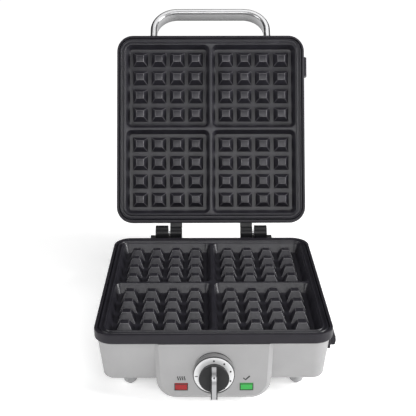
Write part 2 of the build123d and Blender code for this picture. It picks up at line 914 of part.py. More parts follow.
def make_hinge_lug(side):
    """Fixed half of a hinge: a foot on the back of the lower rim with a barrel on it."""
    back = rim_back + 0.1
    low = side * lug_inner if side > 0 else -lug_outer
    ledge = side * (lug_inner - 2.6) if side > 0 else -(lug_outer + 8)
    with BuildPart() as lug:
        with BuildSketch(facing_right(low)):
            with Locations((hinge_y, hinge_z)):
                Circle(lug_radius)
            with BuildLine():
                Polyline(
                    (back, -rim_height),
                    (back, hinge_z + 2),
                    (hinge_y - lug_radius * 0.9, hinge_z + lug_radius * 0.43),
                    (hinge_y, hinge_z),
                    (hinge_y + lug_radius * 0.9, hinge_z - lug_radius * 0.43),
                    (hinge_y + 4, -rim_height),
                    close=True,
                )
            make_face()
        extrude(amount=lug_outer - lug_inner)
        with BuildSketch(facing_right(ledge)):
            with Locations(((back + 163) / 2, (ledge_top - rim_height) / 2)):
                Rectangle(163 - back, ledge_top + rim_height)
        extrude(amount=lug_outer - lug_inner + 10.6)
        with BuildSketch(facing_right(low - 1)):
            with Locations((hinge_y, hinge_z)):
                Circle(pin_radius + 0.01)
        extrude(amount=lug_outer - lug_inner + 2, mode=Mode.SUBTRACT)
        with BuildSketch(facing_front(back)):
            with Locations(*hinge_screw_places):
                Circle(1.7)
        extrude(amount=-7, mode=Mode.SUBTRACT)
    return lug.part


def make_hinge_arm(side):
    """Moving half of a hinge, drawn with the lid shut: a foot on the lid's rim and a barrel."""
    low = arm_inner if side > 0 else -arm_outer
    foot = lid_rim_back + 0.05
    with BuildPart() as arm:
        with BuildSketch(facing_right(low)):
            with Locations((hinge_y, hinge_z)):
                Circle(arm_radius)
            with BuildLine():
                Polyline(
                    (foot, 0.9),
                    (foot, rim_height - 0.6),
                    (hinge_y - 6, rim_height - 0.6),
                    (hinge_y, hinge_z + arm_radius - 0.2),
                    (hinge_y, hinge_z - 4),
                    (hinge_y - arm_radius + 0.5, 0.9),
                    close=True,
                )
            make_face()
        extrude(amount=arm_outer - arm_inner)
        with BuildSketch(facing_right(low - 1)):
            with Locations((hinge_y, hinge_z)):
                Circle(pin_radius + running_gap)
        extrude(amount=arm_outer - arm_inner + 2, mode=Mode.SUBTRACT)
    return arm.part


def make_hinge_pins():
    with BuildPart() as pins:
        for low in (-lug_outer + 0.3, arm_inner + 0.3):
            with BuildSketch(facing_right(low)):
                with Locations((hinge_y, hinge_z)):
                    Circle(pin_radius)
            extrude(amount=lug_outer - arm_inner - 0.6)
    return pins.part


def make_hinge_screws():
    """Screws from inside the lower rim back into the hinge feet."""
    head = rim_step_half - 0.1
    with BuildPart() as screws:
        with BuildSketch(facing_front(head)):
            with Locations(*hinge_screw_places):
                Circle(2.6)
        extrude(amount=1.2)
        with BuildSketch(facing_front(head)):
            with Locations(*hinge_screw_places):
                Circle(1.6)
        extrude(amount=-16)
    return screws.part


def make_base_rim():
    """Lower rim, with holes at the back for the hinge screws."""
    with BuildPart() as rim:
        add(make_rim(rim_half, -rim_half, rim_back))
        with BuildSketch(facing_front(rim_step_half - 3)):
            with Locations(*hinge_screw_places):
                Circle(1.7)
        extrude(amount=-20, mode=Mode.SUBTRACT)
    return rim.part


# ---------------------------------------------------------------- lid


def cover_form(inset):
    """Lid cover as one solid, drawn hanging below the parting plane, with its walls inset."""
    low = -cover_height + inset
    with BuildPart() as form:
        for z in (-rim_height, low):
            shrink = cover_draft * (-rim_height - z) + inset
            with BuildSketch(level(z)):
                plan(cover_half - shrink, cover_front + shrink, cover_back - shrink, rim_corner - 2 - shrink)
        loft(ruled=True)
        fillet(form.faces().sort_by(Axis.Z)[0].edges(), cover_edge - inset)
    return form.part


def make_cover():
    with BuildPart() as cover:
        add(cover_form(0))
        add(cover_form(cover_sheet), mode=Mode.SUBTRACT)
        with BuildSketch(facing_right(cover_half - 12)):
            with Locations(((button_front + button_back) / 2, (button_low + button_high) / 2)):
                Rectangle(button_back - button_front + 2.4, button_high - button_low + 2.4)
        extrude(amount=20, mode=Mode.SUBTRACT)
        with BuildSketch(on_cover_front(0)):
            with Locations(*handle_screw_places):
                Circle(2.2)
        extrude(amount=-6, both=True, mode=Mode.SUBTRACT)
    return cover.part


handle_root_z = handle_mid_z - (cover_front - handle_mid_y) * tan(radians(handle_rise))
cover_tilt = degrees(atan(cover_draft))
handle_screw_places = [(x, y) for x in (-handle_x, handle_x) for y in (-6, 6)]


def on_cover_front(out, up=False):
    """Plane on the cover's front wall where the handle meets it, moved outwards."""
    sign = 1 if up else -1
    depth = cover_front + cover_draft * (handle_root_z - rim_height)
    normal = Vector(0, -cos(radians(cover_tilt)), sign * sin(radians(cover_tilt)))
    spot = Vector(0, plate_y + depth, parting_z + sign * handle_root_z) + normal * out
    return Plane(origin=spot, x_dir=(1, 0, 0), z_dir=normal)


def make_handle():
    """Bent bar handle, rising forwards from the lid's front wall, drawn with the lid shut."""
    rise = radians(handle_rise)
    reach_dir = Vector(0, -cos(rise), sin(rise))
    start_depth = 16.0
    start_y = plate_y + cover_front + start_depth * cos(rise)
    start_z = parting_z + handle_root_z - start_depth * sin(rise)
    reach = (cover_front - handle_mid_y) / cos(rise) + start_depth
    lie = Plane(origin=(0, start_y, start_z), x_dir=(1, 0, 0), z_dir=(0, -sin(rise), -cos(rise)))
    with BuildPart() as handle:
        with BuildLine(lie) as run:
            FilletPolyline(
                (-handle_x, 0),
                (-handle_x, reach),
                (handle_x, reach),
                (handle_x, 0),
                radius=handle_bend,
            )
        with BuildSketch(Plane(origin=(-handle_x, start_y, start_z), x_dir=(1, 0, 0), z_dir=reach_dir)):
            RectangleRounded(handle_thick, handle_deep, 3.8)
        sweep(path=run.line)
        split(bisect_by=on_cover_front(0.05, up=True), keep=Keep.TOP)
        with BuildSketch(on_cover_front(0, up=True)):
            with Locations(*handle_screw_places):
                Circle(1.95)
        extrude(amount=9, mode=Mode.SUBTRACT)
    return handle.part


def make_handle_screws():
    """Screws from inside the cover out into the handle's ends."""
    with BuildPart() as screws:
        with BuildSketch(on_cover_front(-cover_sheet - 0.1, up=True)):
            with Locations(*handle_screw_places):
                Circle(3.4)
        extrude(amount=-2)
        with BuildSketch(on_cover_front(-cover_sheet - 0.1, up=True)):
            with Locations(*handle_screw_places):
                Circle(1.9)
        extrude(amount=9)
    return screws.part


# ---------------------------------------------------------------- the pieces, one file each

grid_plate = make_grid_plate()
save_in_lid(upside_down(grid_plate), "upper_waffle_plate")
save(grid_plate, "lower_waffle_plate")
save(make_base_rim(), "base_rim")
save_in_lid(upside_down(make_rim(lid_rim_half, -lid_rim_half, lid_rim_back)), "lid_rim")

housing_outer = housing_form(0)
under_plate = {
    "chassis": make_chassis(),
    "reflector": make_reflector(),
    "heating_element": make_element(),
    "element_terminals": make_terminals(),
    "element_clips": make_element_clips(),
    "release_clip": make_release_clip(),
    "chassis_screws": make_chassis_screws(),
    "thermal_fuse": make_thermal_fuse(),
    "release_button": make_release_button(),
}
for name, piece in under_plate.items():
    save_in_lid(upside_down(piece), "upper_" + name)
    save(piece, "lower_" + name)

save(make_button_guide(housing_outer, 134.0), "lower_button_guide")
save_in_lid(upside_down(make_button_guide(cover_form(0), 132.0)), "upper_button_guide")

save(make_housing(), "base_housing")
save(make_bottom_cover(), "bottom_cover")
save(make_cover_screws(), "bottom_cover_screws")
save(make_feet(), "feet")
save(make_foot_pads(), "foot_pads")
save(make_dial_ring(), "dial_ring")
save(make_thermostat(), "thermostat")
save(make_thermostat_bracket(), "thermostat_bracket")
save(make_lamp_lens(-lamp_x), "power_lamp_lens")
save(make_lamp_lens(lamp_x), "ready_lamp_lens")
save(make_lamps(), "neon_lamps")
save(make_lamp_board(), "lamp_board")
save(make_terminal_block(), "terminal_block")
save(make_wiring(), "internal_wiring")
save(make_inlet_bush(), "power_inlet_bush")
save(make_knob(), "dial_knob")
save(make_knob_strip(), "dial_knob_strip")
save(make_knob_shaft(), "dial_shaft")
save(make_hinge_lug(-1), "hinge_lug_left")
save(make_hinge_lug(1), "hinge_lug_right")
save(make_hinge_pins(), "hinge_pins")
save(make_hinge_screws(), "hinge_screws")
save_in_lid(make_hinge_arm(-1), "hinge_arm_left")
save_in_lid(make_hinge_arm(1), "hinge_arm_right")
save_in_lid(upside_down(make_cover()), "lid_cover")
save_in_lid(make_handle(), "lid_handle")
save_in_lid(make_handle_screws(), "handle_screws")
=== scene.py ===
import bmesh
import bpy
import json
from math import cos, pi, radians, sin
from mathutils import Matrix, Vector


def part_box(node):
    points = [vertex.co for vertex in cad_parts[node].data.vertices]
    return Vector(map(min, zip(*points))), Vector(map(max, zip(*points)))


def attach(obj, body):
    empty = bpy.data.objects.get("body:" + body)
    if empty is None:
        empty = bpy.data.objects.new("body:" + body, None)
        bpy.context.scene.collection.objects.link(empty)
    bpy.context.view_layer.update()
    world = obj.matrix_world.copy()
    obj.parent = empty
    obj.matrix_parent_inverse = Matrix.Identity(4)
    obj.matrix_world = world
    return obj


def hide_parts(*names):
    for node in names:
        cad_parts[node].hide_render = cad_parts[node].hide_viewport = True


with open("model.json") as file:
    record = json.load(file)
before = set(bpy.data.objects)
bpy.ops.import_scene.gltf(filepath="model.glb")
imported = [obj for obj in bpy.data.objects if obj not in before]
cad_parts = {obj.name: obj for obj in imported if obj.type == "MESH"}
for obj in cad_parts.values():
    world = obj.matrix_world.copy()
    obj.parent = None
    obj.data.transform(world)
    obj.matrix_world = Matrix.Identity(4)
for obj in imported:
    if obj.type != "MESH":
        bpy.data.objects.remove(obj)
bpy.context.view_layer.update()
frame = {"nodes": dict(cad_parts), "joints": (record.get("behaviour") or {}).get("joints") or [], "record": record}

NODES = frame["nodes"]
BODY_OF = {}
for body_name, members in frame["record"]["behaviour"]["bodies"].items():
    for member in members:
        BODY_OF[member] = body_name
SLOT_OF = {}
for entry in frame["record"]["subparts"]:
    SLOT_OF[entry["node"]] = entry["material_slot"]


# ------------------------------------------------------------------ materials

class Finish:
    """A node material: a shader, object coordinates, and helpers that wire detail into them."""

    def __init__(self, name, color, roughness, metallic=0.0):
        self.material = bpy.data.materials.new(name)
        self.material.use_nodes = True
        self.tree = self.material.node_tree
        self.shader = self.tree.nodes["Principled BSDF"]
        self.shader.inputs["Base Color"].default_value = (*color, 1.0)
        self.shader.inputs["Roughness"].default_value = roughness
        self.shader.inputs["Metallic"].default_value = metallic
        self.color = color
        self.place = self.tree.nodes.new("ShaderNodeTexCoord").outputs["Object"]
        self.normal = None

    def set(self, **values):
        for key, value in values.items():
            self.shader.inputs[key.replace("_", " ")].default_value = value
        return self

    def stretched(self, scale):
        mapping = self.tree.nodes.new("ShaderNodeMapping")
        mapping.inputs["Scale"].default_value = scale
        self.tree.links.new(self.place, mapping.inputs["Vector"])
        return mapping.outputs["Vector"]

    def noise(self, scale, detail=4.0, rough=0.55, stretch=None):
        """Noise in object space, drawn out along an axis by stretch."""
        node = self.tree.nodes.new("ShaderNodeTexNoise")
        node.inputs["Scale"].default_value = scale
        node.inputs["Detail"].default_value = detail
        node.inputs["Roughness"].default_value = rough
        source = self.stretched(stretch) if stretch else self.place
        self.tree.links.new(source, node.inputs["Vector"])
        return node.outputs["Fac"]

    def curve(self, value, low, high, out_low, out_high):
        """A straight ramp from one range to another."""
        node = self.tree.nodes.new("ShaderNodeMapRange")
        node.inputs["From Min"].default_value = low
        node.inputs["From Max"].default_value = high
        node.inputs["To Min"].default_value = out_low
        node.inputs["To Max"].default_value = out_high
        self.tree.links.new(value, node.inputs["Value"])
        return node.outputs["Result"]

    def rough_from(self, value, out_low, out_high, low=0.3, high=0.7):
        """Roughness that wanders between two values with a noise."""
        level = self.curve(value, low, high, out_low, out_high)
        self.tree.links.new(level, self.shader.inputs["Roughness"])
        return self

    def tint(self, value, darker, lighter, low=0.3, high=0.7):
        """Colour between a darker and a lighter share of the finish's own."""
        ramp = self.tree.nodes.new("ShaderNodeValToRGB")
        ramp.color_ramp.elements[0].position = low
        ramp.color_ramp.elements[1].position = high
        ramp.color_ramp.elements[0].color = (*[c * darker for c in self.color], 1.0)
        ramp.color_ramp.elements[1].color = (*[min(1.0, c * lighter) for c in self.color], 1.0)
        self.tree.links.new(value, ramp.inputs["Fac"])
        self.base = ramp.outputs["Color"]
        self.tree.links.new(self.base, self.shader.inputs["Base Color"])
        return self

    def painted_edge_highlight(self, amount, light, radius=0.0012):
        """Painted highlight on edges: lighter where a bevelled normal turns away from the true one."""
        bevel = self.tree.nodes.new("ShaderNodeBevel")
        bevel.samples = 4
        bevel.inputs["Radius"].default_value = radius
        geometry = self.tree.nodes.new("ShaderNodeNewGeometry")
        dot = self.tree.nodes.new("ShaderNodeVectorMath")
        dot.operation = "DOT_PRODUCT"
        self.tree.links.new(bevel.outputs["Normal"], dot.inputs[0])
        self.tree.links.new(geometry.outputs["Normal"], dot.inputs[1])
        edge = self.curve(dot.outputs["Value"], 0.995, 0.86, 0.0, amount)
        mix = self.tree.nodes.new("ShaderNodeMix")
        mix.data_type = "RGBA"
        self.tree.links.new(edge, mix.inputs["Factor"])
        self.tree.links.new(self.base, mix.inputs["A"])
        mix.inputs["B"].default_value = (*light, 1.0)
        self.tree.links.new(mix.outputs["Result"], self.shader.inputs["Base Color"])
        return self

    def bump(self, value, distance, strength=1.0):
        node = self.tree.nodes.new("ShaderNodeBump")
        node.inputs["Distance"].default_value = distance
        node.inputs["Strength"].default_value = strength
        self.tree.links.new(value, node.inputs["Height"])
        if self.normal:
            self.tree.links.new(self.normal, node.inputs["Normal"])
        self.normal = node.outputs["Normal"]
        self.tree.links.new(self.normal, self.shader.inputs["Normal"])
        return self


def moulded(name, color, roughness=0.5, grain=900.0, depth=0.00006, light=None, gloss=0.5):
    """Moulded plastic or rubber with a fine grain, and a painted highlight on its edges where light is given."""
    finish = Finish(name, color, roughness)
    finish.set(Specular_IOR_Level=gloss)
    finish.tint(finish.noise(60.0), 0.86, 1.14)
    finish.rough_from(finish.noise(140.0), roughness - 0.07, roughness + 0.07)
    finish.bump(finish.noise(grain, 2.0), depth)
    if light:
        finish.painted_edge_highlight(0.45, light)
    return finish.material


# Across the handle towards its front face, and how far back from that face the painted shade darkens it
BAR_ACROSS = Vector((0, -0.635, 0.773))
BAR_PAINTED_SHADE_DEPTH = 0.021


def bar_metal_with_painted_shade(name):
    """Brushed bar with painted shade: its colour darker away from its front face."""
    finish = Finish(name, (0.44, 0.44, 0.445), 0.34, 1.0)
    face = max(BAR_ACROSS.dot(vertex.co) for vertex in NODES["lid_handle"].data.vertices)
    reach = finish.tree.nodes.new("ShaderNodeVectorMath")
    reach.operation = "DOT_PRODUCT"
    reach.inputs[1].default_value = BAR_ACROSS
    finish.tree.links.new(finish.place, reach.inputs[0])
    # Painted shade: 0 at the bar's far side and 1 at its front face, mapped from a darker to the full colour
    depth = finish.curve(reach.outputs["Value"], face - BAR_PAINTED_SHADE_DEPTH, face, 0.0, 1.0)
    finish.tint(depth, 0.36, 1.0, 0.05, 0.95)
    brushed = finish.noise(700.0, 3.0, 0.6, (0.35, 9, 9))
    finish.rough_from(brushed, 0.24, 0.38)
    finish.bump(brushed, 0.00001)
    return finish.material


def metal(name, color, roughness=0.3, stretch=(1, 1, 1), grain=500.0, depth=0.00002):
    """Bare metal with brush marks along the axis that stretch leaves short."""
    finish = Finish(name, color, roughness, 1.0)
    brushed = finish.noise(grain, 3.0, 0.6, stretch)
    finish.tint(brushed, 0.82, 1.12)
    finish.rough_from(brushed, roughness - 0.08, roughness + 0.1)
    finish.bump(brushed, depth)
    return finish.material


def satin_silver(name, color, metallic):
    """Silver lacquer, part metal and part paint."""
    finish = Finish(name, color, 0.36, metallic)
    finish.tint(finish.noise(22.0, 3.0), 0.96, 1.05)
    finish.rough_from(finish.noise(700.0, 2.0), 0.33, 0.45)
    finish.bump(finish.noise(1500.0, 2.0), 0.00003, 0.5)
    return finish.material


def coated(name, color, gloss):
    """Nonstick coat with a fine speckle."""
    finish = Finish(name, color, 0.36)
    finish.set(Specular_IOR_Level=gloss)
    finish.tint(finish.noise(45.0, 4.0), 0.8, 1.25)
    finish.rough_from(finish.noise(500.0, 3.0), 0.28, 0.42)
    finish.bump(finish.noise(1300.0, 3.0), 0.00005, 0.7)
    return finish.material


def lens(name, color, glow, strength):
    """Coloured window with a faint lamp behind it."""
    finish = Finish(name, color, 0.18)
    finish.tint(finish.noise(500.0, 1.0), 0.9, 1.1)
    finish.set(Specular_IOR_Level=0.25, Coat_Weight=0.15, Coat_Roughness=0.08)
    finish.set(Emission_Color=(*glow, 1.0), Emission_Strength=strength)
    finish.bump(finish.noise(900.0, 1.0), 0.00002)
    return finish.material


def clear_glass(name):
    """Warm clear glass of the small lamps."""
    finish = Finish(name, (0.95, 0.88, 0.80), 0.05)
    finish.set(Transmission_Weight=0.9, IOR=1.45)
    finish.tint(finish.noise(90.0, 2.0), 0.94, 1.05)
    finish.rough_from(finish.noise(300.0, 2.0), 0.03, 0.1)
    return finish.material


CHARCOAL = (0.0165, 0.0150, 0.0195)

MATERIALS = {
    "silver_shell": satin_silver("satin_silver", (0.305, 0.303, 0.305), 0.5),
    "silver_plastic": moulded("silver_plastic", (0.30, 0.30, 0.305), 0.45, 700.0),
    # dark_rim and hinge_black get a painted highlight of the colour given on their edges
    "dark_rim": moulded("dark_rim", CHARCOAL, 0.46, 1100.0, 0.00005, (0.05, 0.05, 0.055), 0.2),
    "black_plastic": moulded("black_plastic", (0.008, 0.008, 0.009), 0.5),
    "rubber": moulded("black_rubber", (0.02, 0.02, 0.02), 0.72, 600.0),
    "chrome_ring": satin_silver("chrome", (0.70, 0.70, 0.705), 0.2),
    "knob_plastic": moulded("knob_plastic", (0.020, 0.020, 0.021), 0.42, 1300.0, 0.00003, None, 0.22),
    "bright_strip": metal("bright_strip", (0.36, 0.36, 0.37), 0.38, (12, 12, 0.5)),
    "shaft_steel": metal("turned_steel", (0.55, 0.55, 0.56), 0.3, (8, 1, 8)),
    "red_lens": lens("red_lens", (0.27, 0.008, 0.010), (0.6, 0.02, 0.02), 0.06),
    "green_lens": lens("green_lens", (0.015, 0.26, 0.045), (0.10, 0.52, 0.10), 0.25),
    "lamp_glass": clear_glass("lamp_glass"),
    "board": moulded("board", (0.03, 0.12, 0.05), 0.5),
    "ceramic": moulded("ceramic", (0.6, 0.57, 0.5), 0.6, 500.0),
    "zinc_steel": metal("zinc_steel", (0.55, 0.56, 0.58), 0.35, (1, 6, 1), 200.0),
    "terminal_plastic": moulded("terminal_plastic", (0.55, 0.52, 0.45), 0.5),
    "wire_sleeve": moulded("wire_sleeve", (0.42, 0.05, 0.035), 0.7, 1600.0, 0.0002),
    "hinge_black": moulded(
        "hinge_black", (0.006, 0.006, 0.007), 0.36, 800.0, 0.00005, (0.04, 0.04, 0.042), 0.22
    ),
    "pin_steel": metal("pin_steel", (0.55, 0.55, 0.56), 0.28, (1, 8, 8)),
    "screw_steel": metal("screw_steel", (0.5, 0.5, 0.5), 0.35),
    "handle_metal": bar_metal_with_painted_shade("handle_metal"),
    "nonstick": coated("nonstick", (0.0155, 0.0147, 0.0190), 0.34),
    "button_plastic": moulded("button_plastic", CHARCOAL, 0.46, 1100.0, 0.00005, None, 0.2),
    "reflector_alu": metal("reflector_alu", (0.8, 0.8, 0.81), 0.25, (5, 1, 1), 120.0),
    "element_steel": metal("element_steel", (0.22, 0.19, 0.17), 0.45, (1, 1, 1), 260.0),
    "terminal_brass": metal("terminal_brass", (0.72, 0.55, 0.28), 0.3),
    "clip_steel": metal("clip_steel", (0.5, 0.5, 0.53), 0.3, (6, 6, 1)),
}
# A lighter coat for the pegs' rounded edges: a painted highlight
PAINTED_PEG_EDGE_HIGHLIGHT = coated("nonstick_painted_edge_highlight", (0.110, 0.107, 0.115), 0.8)
# Dark ink for print, also drawn as painted shade above the dial's boss
PRINT_INK_AND_PAINTED_SHADE = moulded("print_ink_and_painted_shade", (0.016, 0.016, 0.018), 0.5)


# ------------------------------------------------------------------ pieces

def dress(obj, material):
    """Gives an object one material."""
    obj.data.materials.clear()
    obj.data.materials.append(material)


def shade(obj, angle):
    """Smooth shading that keeps edges sharper than angle hard."""
    for face in obj.data.polygons:
        face.use_smooth = True
    obj.data.set_sharp_from_angle(angle=radians(angle))


def apply_modifiers(obj):
    """Puts the result of an object's modifiers into its mesh."""
    bpy.context.view_layer.update()
    graph = bpy.context.evaluated_depsgraph_get()
    data = bpy.data.meshes.new_from_object(obj.evaluated_get(graph))
    obj.modifiers.clear()
    obj.data = data


for node_name, node_object in NODES.items():
    dress(node_object, MATERIALS[SLOT_OF[node_name]])
    shade(node_object, 32)

# ------------------------------------------------------------------ grid plates

# Sizes of a grid plate lying with its cells up; z is counted from the plane where the plates meet
PARTING_Z = 0.088
PLATE_HALF = 0.138
PLATE_CORNER = 0.0195
LAND_Z = -0.002
CELL_MIDDLE = 0.06505
CELL_TOP_HALF = 0.06325
CELL_FLOOR_HALF = 0.05845
CELL_FLOOR_Z = -0.0145
CELL_TOP_CORNER = 0.0088
CELL_FLOOR_CORNER = 0.004
PEG_PITCH = 0.028
PEG_FOOT = (0.0111, 0.0107)
PEG_HEAD = (0.0053, 0.0049)
PEG_TOP_Z = -0.0015
ARC_STEPS = 6
EDGE_ROUNDING = 0.0011
# Half width and height of each ring from the land out over the two beads and down round the edge
PLATE_EDGE_ROWS = (
    (0.12975, -0.00195), (0.1301, -0.0006), (0.1306, -0.0002), (0.1311, -0.0006), (0.1315, -0.0019),
    (0.1320, -0.0022), (0.1345, -0.0022), (0.1350, -0.0019), (0.1354, -0.0006), (0.1359, -0.0002),
    (0.1364, -0.0006), (0.1369, -0.0018), (0.1376, -0.0021), (0.1380, -0.0025), (0.1380, -0.0036),
    (0.1376, -0.0040), (0.1290, -0.0040), (0.1265, -0.0120), (0.1252, -0.0162), (0.1244, -0.0170),
)
PEG_PLACES = [(k - 1.5) * PEG_PITCH for k in range(4)]
FOOT_LINES = sorted(place + side * PEG_FOOT[0] for place in PEG_PLACES for side in (-1, 1))
FOOT_ROWS = sorted(place + side * PEG_FOOT[1] for place in PEG_PLACES for side in (-1, 1))


def ring_points(middle_x, middle_y, half, corner, z):
    """A rounded square that also has a point opposite each line of the peg feet."""
    points = []
    straight = half - corner
    for quarter in range(4):
        lines = FOOT_LINES if quarter % 2 else FOOT_ROWS
        chain = [(half, -straight)] + [(half, v) for v in lines] + [(half, straight)]
        for k in range(1, ARC_STEPS):
            turn = k / ARC_STEPS * pi / 2
            chain.append((straight + corner * cos(turn), straight + corner * sin(turn)))
        for x, y in chain:
            for _ in range(quarter):
                x, y = -y, x
            points.append((middle_x + x, middle_y + y, z))
    return points


def rounded_square(half, z):
    """Ring of points with the plate's concentric corners, for the beads and the edge."""
    radius = PLATE_CORNER - (PLATE_HALF - half)
    points = []
    for quarter in range(4):
        for k in range(9):
            turn = k / 8 * pi / 2
            x = half - radius + radius * cos(turn)
            y = half - radius + radius * sin(turn)
            for _ in range(quarter):
                x, y = -y, x
            points.append((x, y, z))
    return points


def bridge(faces, lower, upper):
    """Joins two closed rings of the same number of points with quads."""
    count = len(lower)
    for k in range(count):
        after = (k + 1) % count
        faces.append((lower[k], lower[after], upper[after], upper[k]))


def plate_mesh():
    """Points and faces of the lying plate without its land, and the loops that bound the land."""
    vertices = []
    faces = []

    def put(points):
        first = len(vertices)
        vertices.extend(points)
        return list(range(first, len(vertices)))

    cell_loops = []
    for cell_x in (-CELL_MIDDLE, CELL_MIDDLE):
        for cell_y in (-CELL_MIDDLE, CELL_MIDDLE):
            grid = {}
            for i, x in enumerate(FOOT_LINES):
                for j, y in enumerate(FOOT_ROWS):
                    grid[i, j] = put([(cell_x + x, cell_y + y, CELL_FLOOR_Z)])[0]
            for i in range(7):
                for j in range(7):
                    corners = (grid[i, j], grid[i + 1, j], grid[i + 1, j + 1], grid[i, j + 1])
                    if i % 2 or j % 2:
                        faces.append(corners)
                        continue
                    peg_x = cell_x + PEG_PLACES[i // 2]
                    peg_y = cell_y + PEG_PLACES[j // 2]
                    head = put([
                        (peg_x + sx * PEG_HEAD[0], peg_y + sy * PEG_HEAD[1], PEG_TOP_Z)
                        for sx, sy in ((-1, -1), (1, -1), (1, 1), (-1, 1))
                    ])
                    bridge(faces, list(corners), head)
                    faces.append(tuple(head))
            floor = (CELL_FLOOR_HALF, CELL_FLOOR_CORNER, CELL_FLOOR_Z)
            floor_ring = put(ring_points(cell_x, cell_y, *floor))
            top_ring = put(ring_points(cell_x, cell_y, CELL_TOP_HALF, CELL_TOP_CORNER, LAND_Z))
            bridge(faces, floor_ring, top_ring)
            side = len(floor_ring) // 4
            edges = (
                [grid[7, j] for j in range(8)], [grid[7 - i, 7] for i in range(8)],
                [grid[0, 7 - j] for j in range(8)], [grid[i, 0] for i in range(8)],
            )
            for quarter, edge in enumerate(edges):
                start = quarter * side
                for k in range(7):
                    ends = (floor_ring[start + 1 + k], floor_ring[start + 2 + k])
                    faces.append((edge[k], ends[0], ends[1], edge[k + 1]))
                for k in range(8, side + 1):
                    ends = ((start + k) % len(floor_ring), (start + k + 1) % len(floor_ring))
                    faces.append((edge[7], floor_ring[ends[0]], floor_ring[ends[1]]))
            cell_loops.append(top_ring)

    land_loop = put(rounded_square(*PLATE_EDGE_ROWS[0]))
    previous = land_loop
    for half, z in PLATE_EDGE_ROWS[1:]:
        following = put(rounded_square(half, z))
        bridge(faces, previous, following)
        previous = following
    faces.append(tuple(reversed(previous)))
    return vertices, faces, [land_loop] + cell_loops


def fill_land(mesh, loops):
    """Fills the flat land between its outer loop and the four cells' top loops."""
    mesh.verts.ensure_lookup_table()
    edges = []
    for loop in loops:
        for k in range(len(loop)):
            pair = (mesh.verts[loop[k]], mesh.verts[loop[(k + 1) % len(loop)]])
            edges.append(mesh.edges.get(pair) or mesh.edges.new(pair))
    bmesh.ops.triangle_fill(
        mesh, edges=edges, use_beauty=True, use_dissolve=False, normal=(0, 0, 1)
    )


def on_peg(point):
    """Whether a point of the lying plate is on one of its pegs, above the floor's rounding."""
    reach = 0.0
    for along in (abs(point.x) - CELL_MIDDLE, abs(point.y) - CELL_MIDDLE):
        reach = max(reach, min(abs(along - place) for place in PEG_PLACES))
    return reach < PEG_FOOT[0] and point.z > CELL_FLOOR_Z + EDGE_ROUNDING + 0.0001


plate_low, plate_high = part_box("lower_waffle_plate")
plates_meet = Vector((0, (plate_low.y + plate_high.y) / 2, PARTING_Z))


def make_plate(node, upside_down):
    """The grid plate in the place of its CAD node, with soft edges on every peg and cell."""
    vertices, faces, loops = plate_mesh()
    mesh = bmesh.new()
    for vertex in vertices:
        mesh.verts.new(vertex)
    mesh.verts.ensure_lookup_table()
    for face in faces:
        mesh.faces.new([mesh.verts[k] for k in face])
    fill_land(mesh, loops)
    bmesh.ops.recalc_face_normals(mesh, faces=mesh.faces)
    data = bpy.data.meshes.new(node + "_cast")
    mesh.to_mesh(data)
    mesh.free()
    place = Matrix.Translation(plates_meet)
    if upside_down:
        lid_hinge = [joint for joint in frame["joints"] if joint["name"] == "lid_hinge"][0]
        hinge = Matrix.Translation(Vector(lid_hinge["pos_m"]))
        swing = Matrix.Rotation(-radians(lid_hinge["range_deg"][1]), 4, "X")
        place = hinge @ swing @ hinge.inverted() @ place @ Matrix.Diagonal((1, 1, -1, 1))
    data.transform(place)
    if upside_down:
        data.flip_normals()
    data.materials.append(MATERIALS["nonstick"])
    data.materials.append(PAINTED_PEG_EDGE_HIGHLIGHT)
    obj = bpy.data.objects.new(node + "_cast", data)
    bpy.context.scene.collection.objects.link(obj)
    bevel = obj.modifiers.new("round", "BEVEL")
    bevel.width = EDGE_ROUNDING
    bevel.segments = 3
    bevel.limit_method = "ANGLE"
    bevel.angle_limit = radians(38)
    bevel.use_clamp_overlap = True
    # The bevel's rounding takes the second material, the painted edge highlight
    bevel.material = 1
    apply_modifiers(obj)
    shade(obj, 50)
    # The rounding on the pegs keeps the lighter coat of painted edge highlight, and the rest goes back to the
    # plain one
    flat = place.inverted()
    for face in obj.data.polygons:
        if not on_peg(flat @ face.center):
            face.material_index = 0
    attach(obj, BODY_OF[node])
    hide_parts(node)


make_plate("lower_waffle_plate", False)
make_plate("upper_waffle_plate", True)


# ------------------------------------------------------------------ small added pieces

def add_mesh(name, vertices, faces, material, body):
    """A new piece from points and faces, with its faces turned outwards, riding on a body."""
    data = bpy.data.meshes.new(name)
    data.from_pydata([tuple(v) for v in vertices], [], faces)
    data.update()
    obj = bpy.data.objects.new(name, data)
    bpy.context.scene.collection.objects.link(obj)
    fixer = bmesh.new()
    fixer.from_mesh(data)
    bmesh.ops.recalc_face_normals(fixer, faces=fixer.faces)
    fixer.to_mesh(data)
    fixer.free()
    shade(obj, 35)
    dress(obj, material)
    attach(obj, body)


def front_of(node, x, z):
    """Where a ray from the front first meets a CAD node."""
    return NODES[node].ray_cast(Vector((x, -1, z)), Vector((0, 1, 0)))[1]


INK_PROUD = 0.00007
INK_SUNK = 0.00005


def printed_or_painted_shade(name, node, outlines, body):
    """Thin raised ink, or a dark line of painted shade, on a node's front: each outline is a list of (x, z)
    points.
    """
    vertices = []
    faces = []
    for outline in outlines:
        first = len(vertices)
        count = len(outline)
        for x, z in outline:
            place = front_of(node, x, z)
            vertices.append(place + Vector((0, -INK_PROUD, 0)))
            vertices.append(place + Vector((0, INK_SUNK, 0)))
        faces.append([first + 2 * k for k in range(count)])
        faces.append([first + 2 * k + 1 for k in reversed(range(count))])
        for k in range(count):
            after = (k + 1) % count
            faces.append((first + 2 * k, first + 2 * k + 1, first + 2 * after + 1, first + 2 * after))
    add_mesh(name, vertices, faces, PRINT_INK_AND_PAINTED_SHADE, body)


def dot(x, z, radius, count=20):
    """Outline of a round spot."""
    turns = [2 * pi * k / count for k in range(count)]
    return [(x + radius * cos(turn), z + radius * sin(turn)) for turn in turns]


